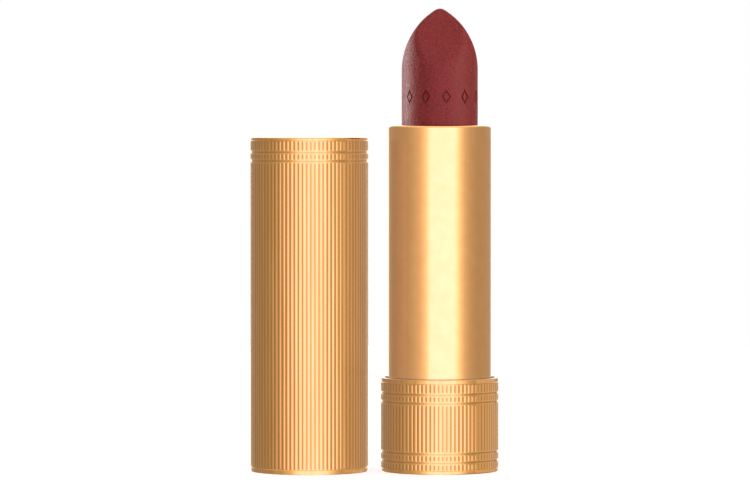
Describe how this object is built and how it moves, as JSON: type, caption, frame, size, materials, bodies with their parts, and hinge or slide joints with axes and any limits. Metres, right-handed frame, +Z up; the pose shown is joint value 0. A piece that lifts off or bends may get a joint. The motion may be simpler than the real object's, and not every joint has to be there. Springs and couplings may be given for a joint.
{
  "type": "lipstick case",
  "caption": "Swivel-up lipstick in a round reeded metal case: ringed base, smooth inner tube, raised wax stick with a slanted tip, and a loose matching cap standing beside it.",
  "frame": {"origin": "on the lipstick unit's own axis, at the underside of its base", "axes": "+Z up along the unit's axis, -Y to the front, the cap stands on the -X side"},
  "size_m": [0.0415, 0.0198, 0.0772],
  "materials": {
    "reeded_gold": "satin gold anodised, reeded",
    "polished_gold": "bright gold anodised, polished",
    "lip_wax": "matte moulded wax",
    "black_plastic": "moulded, fine matte",
    "white_plastic": "moulded, semi-gloss",
    "grey_plastic": "moulded, semi-gloss",
    "silicone": "moulded silicone",
    "weight_steel": "turned, zinc plated",
    "label_paper": "printed sticker, plain"
  },
  "bodies": {
    "base": {"base_shell": "reeded_gold", "base_insert": "black_plastic", "base_weight": "weight_steel", "shade_label": "label_paper", "slotted_tube": "white_plastic", "drag_ring": "silicone"},
    "tube": {"tube_shell": "polished_gold", "cam_sleeve": "grey_plastic"},
    "carrier": {"elevator_cup": "white_plastic", "bullet": "lip_wax"},
    "cap": {"cap_shell": "reeded_gold", "cap_liner": "black_plastic", "cap_weight": "weight_steel"}
  },
  "joints": [
    {"name": "tube_turn", "type": "hinge", "parent": "base", "child": "tube", "pos_m": [0, 0, 0.0117], "axis": [0, 0, -1], "range_deg": [-432.5, 54.5]},
    {"name": "bullet_lift", "type": "slide", "parent": "base", "child": "carrier", "axis": [0, 0, 1], "range_m": [-0.024, 0.003]},
    {"name": "cap_lift", "type": "slide", "parent": "base", "child": "cap", "axis": [0, 0, 1], "range_m": [0, 0.08]}
  ],
  "couplings": [
    {"joint": "tube_turn", "follows": "bullet_lift", "rad_per_m": 314.16}
  ]
}
